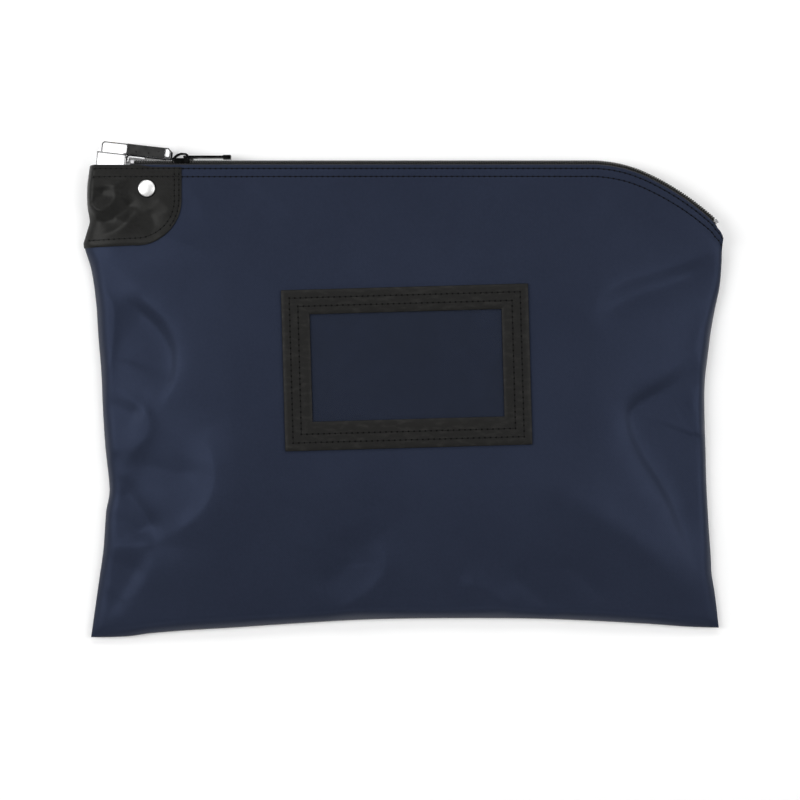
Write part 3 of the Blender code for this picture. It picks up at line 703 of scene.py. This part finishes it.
MATERIALS = {
    "navy_nylon": nylon("navy_nylon", (0.0158, 0.0200, 0.0348), (0.0195, 0.0248, 0.0428), 0.52, 1.4, 0.3,
                        gloss=(0.44, 0.57, 1.0)),
    "black_nylon": nylon("black_nylon", (0.0050, 0.0050, 0.0048), (0.0150, 0.0150, 0.0145), 0.5, 1.5, 0.45,
                         gloss=(0.85, 0.85, 0.83)),
    "black_tape": tape_cloth("black_tape", (0.006, 0.006, 0.007), (0.022, 0.022, 0.023)),
    # the paler colour is the coil loops' painted highlight
    "black_coil": moulded("black_coil", (0.003, 0.003, 0.003), (0.10, 0.10, 0.095)),
    "black_vinyl": vinyl("black_vinyl", (0.0125, 0.0123, 0.0118), (0.0225, 0.0220, 0.0208)),
    "clear_vinyl": clear_film("clear_vinyl"),
    # chrome gets a painted dark reflection 2.4 mm wide along its edges
    "chrome": metal("chrome", (0.80, 0.80, 0.81), (0.90, 0.90, 0.91), 0.16, 0.06, painted_edge_reflection=2.4),
    "black_metal": metal("black_metal", (0.012, 0.012, 0.012), (0.03, 0.03, 0.03), 0.42, 0.25,
                         metallic=0.3),
    "slider_black": metal("slider_black", (0.008, 0.008, 0.008), (0.016, 0.016, 0.016), 0.34, 0.18),
    "rivet_nickel": metal("rivet_nickel", (0.78, 0.78, 0.78), (0.90, 0.90, 0.89), 0.50, 0.42),
    "brass": metal("brass", (0.55, 0.40, 0.17), (0.70, 0.53, 0.26), 0.35, 0.2, (1, 8, 1)),
    "spring_steel": metal("spring_steel", (0.38, 0.38, 0.39), (0.55, 0.55, 0.56), 0.4, 0.22, (1, 1, 8)),
}
BRIGHT_METALS = (MATERIALS["chrome"], MATERIALS["brass"], MATERIALS["spring_steel"])
NAVY_THREAD = thread("navy_thread", (0.004, 0.005, 0.009), (0.009, 0.012, 0.020))
BLACK_THREAD = thread("black_thread", (0.008, 0.008, 0.008), (0.018, 0.018, 0.0175))
# near black: painted shade in the needle holes
NEEDLE_HOLE_SHADE = thread("needle_hole_shade", (0.0012, 0.0012, 0.0012), (0.003, 0.003, 0.003))


def dress(obj, slot, body, replaces=(), material=None):
    """Give a new piece its finish, the body it rides on and the CAD nodes it stands for."""
    obj.data.materials.append(material or MATERIALS[slot])
    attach(obj, body)
    if replaces:
        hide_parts(*replaces)
    return obj


# ---------------------------------------------------------------- the bag

def spaced(*stretches):
    """Positions from (start, stop, step) stretches, with the last stop."""
    parts = [np.arange(start, stop, step) for start, stop, step in stretches]
    return np.concatenate(parts + [[stretches[-1][1]]])


FOLD_RADIUS = 0.45             # the hem's turned edge


def hem_turn():
    """(drop, lift) of the cloth that turns in over the hem, from inside to outside."""
    inside = [(drop, -2 * FOLD_RADIUS) for drop in (9.5, 8.0, 6.0, 4.0, 2.0)]
    around = []
    for i in range(7):
        angle = math.pi * i / 6
        around.append((FOLD_RADIUS * (1 - math.sin(angle)), -FOLD_RADIUS * (1 + math.cos(angle))))
    return inside + around


SEAM_GAP = 0.06                # of each cloth from the middle of a seam
TUCK = 0.7                     # how far the cloth turns in at a seam


def make_shell(name, side, node):
    """One side of the bag as a single sheet: turned in at the hem, tucked into the seams elsewhere."""
    s = spaced((0.0, 12.0, 0.8), (12.0, 298.0, 1.6), (298.0, PATH_LENGTH, 1.2))
    drops = spaced((0.9, 10.2, 0.45), (10.2, 24.0, 1.0), (24.0, 268.0, 1.6), (268.0, BAG_HEIGHT, 0.8))
    turn = hem_turn()
    rows = np.array([drop for drop, _lift in turn] + list(drops) + [BAG_HEIGHT] * 2)
    lifts = np.array([lift for _drop, lift in turn] + [0.0] * (len(drops) + 2))
    row_tuck = np.array([0.0] * (len(turn) + len(drops)) + [0.5, 1.0])
    columns = np.concatenate(([0.0, 0.0], s, [PATH_LENGTH, PATH_LENGTH]))
    column_tuck = np.concatenate(([1.0, 0.5], np.zeros(len(s)), [0.5, 1.0]))
    grid_s, grid_drop = np.meshgrid(columns, rows)
    tuck = 1 - np.outer(1 - row_tuck, 1 - column_tuck)
    points = surface(side, grid_s, grid_drop, np.repeat(lifts[:, None], len(columns), 1))
    seam = seam_height(grid_drop) + side * SEAM_GAP
    points[..., 2] += (seam - points[..., 2]) * ease(tuck)
    centre = plan(np.full(grid_s.shape, PATH_LENGTH / 2), np.full(grid_s.shape, BAG_HEIGHT / 2))
    inward = centre - points[..., :2]
    inward /= np.linalg.norm(inward, axis=-1)[..., None]
    points[..., :2] += inward * (TUCK * tuck ** 2)[..., None]
    faces = grid_faces(len(rows), len(columns))
    if side < 0:
        faces = [face[::-1] for face in faces]
    shell = mesh_object(name, points, faces, np.stack((grid_s, grid_drop), -1))
    dress(shell, "navy_nylon", "bag", (node,))
    return shell


def hem_lines(side):
    """The two stitched lines under the hem."""
    lines = []
    for row in HEM_ROWS:
        s = np.arange(8.0, PATH_LENGTH - 2.0, 0.5)
        lines.append(surface(side, s, np.full(s.shape, row), HEM_STITCH_LIFT))
    return lines


def patch_edge(y):
    """Right-hand outline of the corner patch, rounded at the bottom."""
    down = np.clip((PATCH_CORNER[1] - y) / PATCH_RADIUS, 0, 1)
    return PATCH_CORNER[0] + PATCH_RADIUS * np.sqrt(1 - down * down)


def patch_line(inset, steps=90):
    """The patch's outline moved in by inset: down the right side, round the corner and along the bottom."""
    radius = PATCH_RADIUS - inset
    top = np.stack((np.full(steps // 3, PATCH_CORNER[0] + radius),
                    np.linspace(PATCH_TOP - 1.2, PATCH_CORNER[1], steps // 3)), -1)
    angle = np.linspace(0, -math.pi / 2, steps // 2)
    corner = np.stack((PATCH_CORNER[0] + radius * np.cos(angle),
                       PATCH_CORNER[1] + radius * np.sin(angle)), -1)
    x = np.linspace(PATCH_CORNER[0], PATCH_LEFT, steps // 2)
    bottom = np.stack((x, PATCH_BOTTOM + inset + PATCH_SLOPE * (x - PATCH_CORNER[0])), -1)
    return np.vstack((top, corner[1:-1], bottom))


def make_patch(name, side, node):
    """The corner patch: stitched along its outline, a second time down its right side, and at the hem."""
    level = np.linspace(1, 0, 90)[:, None]
    across = np.linspace(0, 1, 96)[None, :]
    right = patch_edge(PATCH_BOTTOM + (PATCH_TOP - PATCH_BOTTOM) * level)
    x = PATCH_LEFT + (right - PATCH_LEFT) * across
    top = PATCH_TOP + (PATCH_LEFT_TOP - PATCH_TOP) * ease(-(x + 148) / 10)
    bottom = PATCH_BOTTOM + PATCH_SLOPE * np.minimum(0, x - PATCH_CORNER[0])
    y = bottom + (top - bottom) * level
    left = np.interp(y, LEFT_LINE[:, 1], LEFT_LINE[:, 0]) + 0.02
    x = left + (right - left) * across
    edge = np.minimum(np.minimum(across, 1 - across) * 60, np.minimum(top - y, y - bottom))
    lift = 0.15 + 0.3 * ease(edge / 1.5)
    points = surface_at(side, x, y, lift)
    faces = grid_faces(*x.shape)
    if side < 0:
        faces = [face[::-1] for face in faces]
    patch = thicken(mesh_object(name, points, faces), CLOTH, 1)
    dress(patch, "black_nylon", "bag", (node,))
    outlines = (patch_line(4.2), patch_line(1.5)[:48])
    lines = [surface_at(side, *outline.T, PATCH_STITCH_LIFT) for outline in outlines]
    for row in HEM_ROWS:
        s = np.linspace(1.5, PATCH_CORNER[0] + PATCH_RADIUS - 0.8 - PATH_START[0], 80)
        lines.append(surface(side, s, np.full(80, row), PATCH_STITCH_LIFT))
    sew(name + "_stitches", lines, BLACK_THREAD, "black_tape", side=side)


def label_point(a, b, offset=(0.0, 0.0)):
    """Plan position of a point in the label pocket's own frame."""
    a = a + offset[0]
    b = b + offset[1]
    return (LABEL_CENTRE[0] + a * math.cos(LABEL_TURN) - b * math.sin(LABEL_TURN),
            LABEL_CENTRE[1] + a * math.sin(LABEL_TURN) + b * math.cos(LABEL_TURN))


def rectangle_line(inset):
    """A stitched line round the frame."""
    half_a = LABEL_SIZE[0] / 2 - inset
    half_b = LABEL_SIZE[1] / 2 - inset
    corners = [(-half_a, half_b), (half_a, half_b), (half_a, -half_b), (-half_a, -half_b)]
    lines = []
    for (a0, b0), (a1, b1) in zip(corners, corners[1:] + corners[:1]):
        t = np.linspace(0, 1, 80)
        line = label_point(a0 + (a1 - a0) * t, b0 + (b1 - b0) * t)
        lines.append(surface_at(1, *line, LABEL_STITCH_LIFT))
    return lines


BORDER_LIFT = 0.7              # of the label frame's edges above the cloth
BORDER_PUFF = 0.45             # how much further its middle stands
BORDER_ROUND = 0.9             # width of its rounded edges
BORDER = 0.55                  # thicknesses
FILM = 0.2
FILM_LIFT = 0.45


def make_label_pocket():
    """The vinyl frame with its window, the clear film behind it and two rows of stitches."""
    half_a = LABEL_SIZE[0] / 2
    half_b = LABEL_SIZE[1] / 2
    left, right = (WINDOW_OFFSET[0] + side * WINDOW_SIZE[0] / 2 for side in (-1, 1))
    low, high = (WINDOW_OFFSET[1] + side * WINDOW_SIZE[1] / 2 for side in (-1, 1))

    def line(start, first, second, stop):
        """Positions with extra ones beside each edge."""
        edges = [start, start + 0.35, start + BORDER_ROUND, first - BORDER_ROUND, first - 0.35, first]
        edges += [second, second + 0.35, second + BORDER_ROUND, stop - BORDER_ROUND, stop - 0.35, stop]
        wide = [(a, b) for a, b in zip(edges, edges[1:]) if b - a > 2]
        inner = [np.linspace(a, b, int((b - a) / 1.6) + 2)[1:-1] for a, b in wide]
        return np.unique(np.concatenate([edges] + inner))

    a = line(-half_a, left, right, half_a)
    b = line(-half_b, low, high, half_b)[::-1]
    grid_a, grid_b = np.meshgrid(a, b)
    outer = np.minimum(half_a - np.abs(grid_a), half_b - np.abs(grid_b))
    beyond = np.maximum(np.maximum(left - grid_a, grid_a - right), np.maximum(low - grid_b, grid_b - high))
    lift = BORDER_LIFT + BORDER_PUFF * ease(outer / BORDER_ROUND) * ease(beyond / BORDER_ROUND)
    points = surface_at(1, *label_point(grid_a, grid_b), lift)
    middle_a = (a[1:] + a[:-1]) / 2
    middle_b = (b[1:] + b[:-1]) / 2
    open_a = (middle_a > left) & (middle_a < right)
    open_b = (middle_b > low) & (middle_b < high)
    faces = grid_faces(len(b), len(a), keep=~(open_b[:, None] & open_a[None, :]))
    border = thicken(mesh_object("label_border", points, faces), BORDER, 1)
    bm = bmesh.new()
    bm.from_mesh(border.data)
    bmesh.ops.delete(bm, geom=[v for v in bm.verts if not v.link_faces], context="VERTS")
    bm.to_mesh(border.data)
    bm.free()
    dress(border, "black_vinyl", "bag", ("label_frame",))
    grid_a, grid_b = np.meshgrid(np.linspace(-FILM_SIZE[0] / 2, FILM_SIZE[0] / 2, 70),
                                 np.linspace(FILM_SIZE[1] / 2, -FILM_SIZE[1] / 2, 44))
    points = surface_at(1, *label_point(grid_a, grid_b), FILM_LIFT)
    film = mesh_object("label_film", points, grid_faces(*grid_a.shape))
    dress(thicken(film, FILM, 1), "clear_vinyl", "bag", ("label_window",))
    lines = rectangle_line(4.6) + rectangle_line(9.6)
    sew("label_stitches", lines, BLACK_THREAD, "black_tape", pitch=3.3)


# ---------------------------------------------------------------- zipper

COIL_CENTRE = 1.35             # of each coil from the middle plane
COIL_HALF_Z = 1.28
COIL_HALF_Q = 0.92
COIL_WIRE = 0.34               # radius, the same as the filler cord's
COIL_PITCH = 1.45


def make_coil(name, side, node):
    """A coil whose loops reach past the middle plane between the other coil's loops."""
    turns = (CHAIN_STOP - CHAIN_START) / COIL_PITCH
    turn = np.arange(0, turns, 1 / 12)
    s = CHAIN_START + turn * COIL_PITCH
    angle = 2 * math.pi * turn + (0.0 if side > 0 else math.pi)
    setback = CHAIN_SETBACK + COIL_HALF_Q * np.sin(angle)
    z = MID_Z + side * (COIL_CENTRE + COIL_HALF_Z * np.cos(angle))
    line = np.concatenate((path_point(s, setback), z[:, None]), -1)
    dress(tube_mesh(name, line, COIL_WIRE, 6), "black_coil", "bag", (node,))
    cord_s = np.arange(CHAIN_START, CHAIN_STOP, 2.0)
    cord_z = np.full((len(cord_s), 1), MID_Z + side * (COIL_CENTRE + 0.35))
    cord_line = np.concatenate((path_point(cord_s, CHAIN_SETBACK), cord_z), -1)
    cord = tube_mesh(name + "_filler_cord", cord_line, COIL_WIRE)
    dress(cord, "black_tape", "bag")


def make_tape(name, side, node):
    """Woven tape from the coil, across the mouth and down behind the panel."""
    s = spaced((TAPE_START, TAPE_STOP, 1.2))
    inner_z = np.full((len(s), 1), MID_Z + side * TAPE_INNER_HALF_GAP)
    inner = np.concatenate((path_point(s, TAPE_SETBACK), inner_z), -1)
    rows = [inner]
    panel_edge = surface(side, s, np.full(s.shape, 0.6), -TAPE_BEHIND)
    edge = np.concatenate((path_point(s, TAPE_SETBACK), panel_edge[:, 2:]), -1)
    for t in (0.2, 0.4, 0.6, 0.8, 0.93):
        rows.append(inner + (edge - inner) * t)
    for drop in (0.6, 1.5, 3.0, 5.0, 7.0, TAPE_WIDTH):
        rows.append(surface(side, s, np.full(s.shape, drop), -TAPE_BEHIND - 0.06))
    tape = thicken(mesh_object(name, np.stack(rows), grid_faces(len(rows), len(s))), CLOTH, 0)
    dress(tape, "black_tape", "bag", (node,))


# ---------------------------------------------------------------- rivet and carried-over CAD pieces

def turned(name, profile, centre, steps=64):
    """A profile of (radius, height) from top to bottom, turned about a vertical axis."""
    mesh = bpy.data.meshes.new(name)
    points = [(radius * MM, 0.0, height * MM) for radius, height in profile]
    mesh.from_pydata(points, [(i, i + 1) for i in range(len(points) - 1)], [])
    obj = bpy.data.objects.new(name, mesh)
    bpy.context.scene.collection.objects.link(obj)
    obj.location = Vector((*centre, 0.0)) * MM
    screw = obj.modifiers.new("turn", "SCREW")
    screw.steps = steps
    screw.render_steps = steps
    screw.use_merge_vertices = True
    screw.merge_threshold = 0.00001
    screw.use_smooth_shade = True
    return obj


DOME_HEIGHT = 1.0
DOME_RINGS = 14


def make_rivet():
    """A shallow domed cap where the CAD's is, on a dark collar that lies on the patch; the collar's dark
    ring past the dome's rim also serves as painted shadow round the rivet.
    """
    low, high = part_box("rivet_cap")
    centre = ((low + high) / 2 / MM)[:2]
    top = high.z / MM
    radius = (high.x - low.x) / 2 / MM
    dome = [(radius * i / DOME_RINGS, top - DOME_HEIGHT * (i / DOME_RINGS) ** 2) for i in range(DOME_RINGS)]
    rim = [(radius - 0.12, top - 1.05), (radius, top - 1.25), (radius, top - 1.7),
           (radius - 0.3, top - 1.9), (1.9, top - 1.9), (1.9, top - 6.0)]
    cap = turned("rivet_dome", dome + rim, centre)
    dress(cap, "chrome", "bag", ("rivet_cap",), MATERIALS["rivet_nickel"])
    low_rim = surface_at(1, centre[0], centre[1])[2] + 0.7
    # the ring shows past the dome's rim as a thin dark line: partly a collar, partly painted shadow round
    # the rivet
    ring = [(radius - 0.2, low_rim + 0.5), (radius + 0.35, low_rim + 0.5), (radius + 0.55, low_rim + 0.3),
            (radius + 0.6, low_rim - 0.6)]
    collar = turned("rivet_collar", ring, centre)
    dress(collar, "black_metal", "bag", material=MATERIALS["slider_black"])


def soften(node, width):
    """Rounds the edges of a carried-over CAD piece."""
    obj = NODES[node]
    weld = obj.modifiers.new("weld", "WELD")
    weld.merge_threshold = 0.000002
    bevel = obj.modifiers.new("edges", "BEVEL")
    bevel.width = width * MM
    bevel.segments = 3
    bevel.limit_method = "ANGLE"
    bevel.angle_limit = math.radians(35)
    bevel.harden_normals = True


CAD_FINISHES = {
    "chrome": ("lock_housing", "lock_head", "slider_stop_tongue", "rivet_post"),
    "black_metal": ("front_cover_plate", "back_cover_plate"),
    "slider_black": ("slider_body", "slider_bridge", "pull_tab"),
    "brass": ("key_plug", "wafer_1", "wafer_2", "wafer_3", "wafer_4", "wafer_5"),
    "spring_steel": ("zipper_start_stop", "zipper_end_stop", "front_rivet_spacer", "back_rivet_spacer",
                     "anchor_plate", "anchor_screw_1", "anchor_screw_2", "pop_up_spring",
                     "plug_retaining_clip", "latch_bolt"),
    "black_tape": ("left_seam_binding", "right_seam_binding", "bottom_seam_binding"),
}
SOFTENED = {"lock_housing": 0.3, "lock_head": 0.3, "slider_stop_tongue": 0.25, "front_cover_plate": 0.15,
            "back_cover_plate": 0.15, "slider_body": 0.3, "slider_bridge": 0.3, "pull_tab": 0.25,
            "zipper_start_stop": 0.25, "zipper_end_stop": 0.25, "latch_bolt": 0.15, "anchor_plate": 0.15}


def finish_cad_pieces():
    """Finishes and softened edges of the pieces that stay as the CAD made them."""
    for finish, nodes in CAD_FINISHES.items():
        for node in nodes:
            obj = NODES[node]
            obj.data.materials.clear()
            obj.data.materials.append(MATERIALS[finish])
    for node, width in SOFTENED.items():
        soften(node, width)


# ---------------------------------------------------------------- studio

CAMERA_XY = (-1.8, -6.0)
FIELD = 477.6                  # width seen at the bag, mm
LENS = 100.0
SENSOR = 36.0
FLOOR_HALF = 3.0               # m
FLOOR_DEPTH = 0.0003           # m under the bag
WHITE = (1.0, 1.0, 1.0, 1.0)
ROOM = 0.16                    # brightness of the room round the bag

# name, place and size in m, power in W
SOFTBOXES = (
    ("left_softbox", (-1.02, 0.10, 1.0), (0.5, 1.3), 12.0),
    ("right_softbox", (1.02, 0.05, 1.0), (0.5, 1.3), 9.0),
    ("top_softbox", (0.0, 1.1, 1.0), (1.4, 0.4), 7.5),
    ("low_softbox", (0.0, -1.3, 0.8), (1.4, 0.4), 3.0),
)


def make_floor():
    """The pale sheet that the bag lies on, a hair below its lowest point."""
    bm = bmesh.new()
    bmesh.ops.create_grid(bm, x_segments=8, y_segments=8, size=FLOOR_HALF)
    mesh = bpy.data.meshes.new("floor")
    bm.to_mesh(mesh)
    bm.free()
    floor = bpy.data.objects.new("floor", mesh)
    bpy.context.scene.collection.objects.link(floor)
    floor.location.z = -FLOOR_DEPTH
    made = Finish("pale_floor", roughness=0.9, Specular_IOR_Level=0.1, Emission_Strength=0.10)
    made.shader.inputs["Emission Color"].default_value = WHITE
    made.colour(made.blend(made.noise(3.0), (0.93, 0.93, 0.93), (0.95, 0.95, 0.95)))
    mesh.materials.append(made.material)


def area_light(name, place, size, power, aim=(0.0, 0.0, 0.0)):
    light = bpy.data.lights.new(name, "AREA")
    light.shape = "RECTANGLE"
    light.size, light.size_y = size
    light.energy = power
    obj = bpy.data.objects.new(name, light)
    bpy.context.scene.collection.objects.link(obj)
    obj.location = place
    obj.rotation_euler = (Vector(aim) - Vector(place)).to_track_quat("-Z", "Y").to_euler()


def overhead_panel(name, place, size, power, finishes):
    """A white panel over the bag that only the pieces with these finishes mirror."""
    area_light(name, place, (size, size), power, (place[0], place[1], 0.0))
    mirrors = bpy.data.collections.new(name + "_mirrors")
    for obj in bpy.context.scene.objects:
        if obj.type == "MESH" and any(m in finishes for m in obj.data.materials):
            mirrors.objects.link(obj)
    bpy.data.objects[name].light_linking.receiver_collection = mirrors


def make_lights():
    """Four soft boxes round the bag and two overhead panels, in a dim white room."""
    world = bpy.data.worlds.new("studio")
    world.use_nodes = True
    background = world.node_tree.nodes["Background"]
    background.inputs["Color"].default_value = WHITE
    background.inputs["Strength"].default_value = ROOM
    bpy.context.scene.world = world
    for name, place, size, power in SOFTBOXES:
        area_light(name, place, size, power)
    overhead_panel("lock_panel", (-0.42, 0.43, 2.4), 0.9, 3.8, BRIGHT_METALS)
    overhead_panel("rivet_panel", (-0.62, 0.40, 1.5), 1.2, 3.6, (MATERIALS["rivet_nickel"],))


def make_camera():
    """Straight above the bag, looking down, with the bag's top edge up."""
    data = bpy.data.cameras.new("camera")
    data.lens = LENS
    data.sensor_width = SENSOR
    camera = bpy.data.objects.new("camera", data)
    bpy.context.scene.collection.objects.link(camera)
    height = MID_Z + FIELD * LENS / SENSOR
    camera.location = Vector((*CAMERA_XY, height)) * MM
    bpy.context.scene.camera = camera
    bpy.context.scene.view_settings.view_transform = "Standard"


make_shell("front_shell", 1, "front_panel")
make_shell("back_shell", -1, "back_panel")
sew("front_hem_stitches", hem_lines(1), NAVY_THREAD, "navy_nylon")
sew("back_hem_stitches", hem_lines(-1), NAVY_THREAD, "navy_nylon", side=-1)
make_patch("front_patch", 1, "front_corner_patch")
make_patch("back_patch", -1, "back_corner_patch")
make_label_pocket()
make_coil("front_chain_coil", 1, "front_coil")
make_coil("back_chain_coil", -1, "back_coil")
make_tape("front_tape", 1, "front_zipper_tape")
make_tape("back_tape", -1, "back_zipper_tape")
make_rivet()
finish_cad_pieces()
make_floor()
make_lights()
make_camera()

bpy.context.view_layer.update()
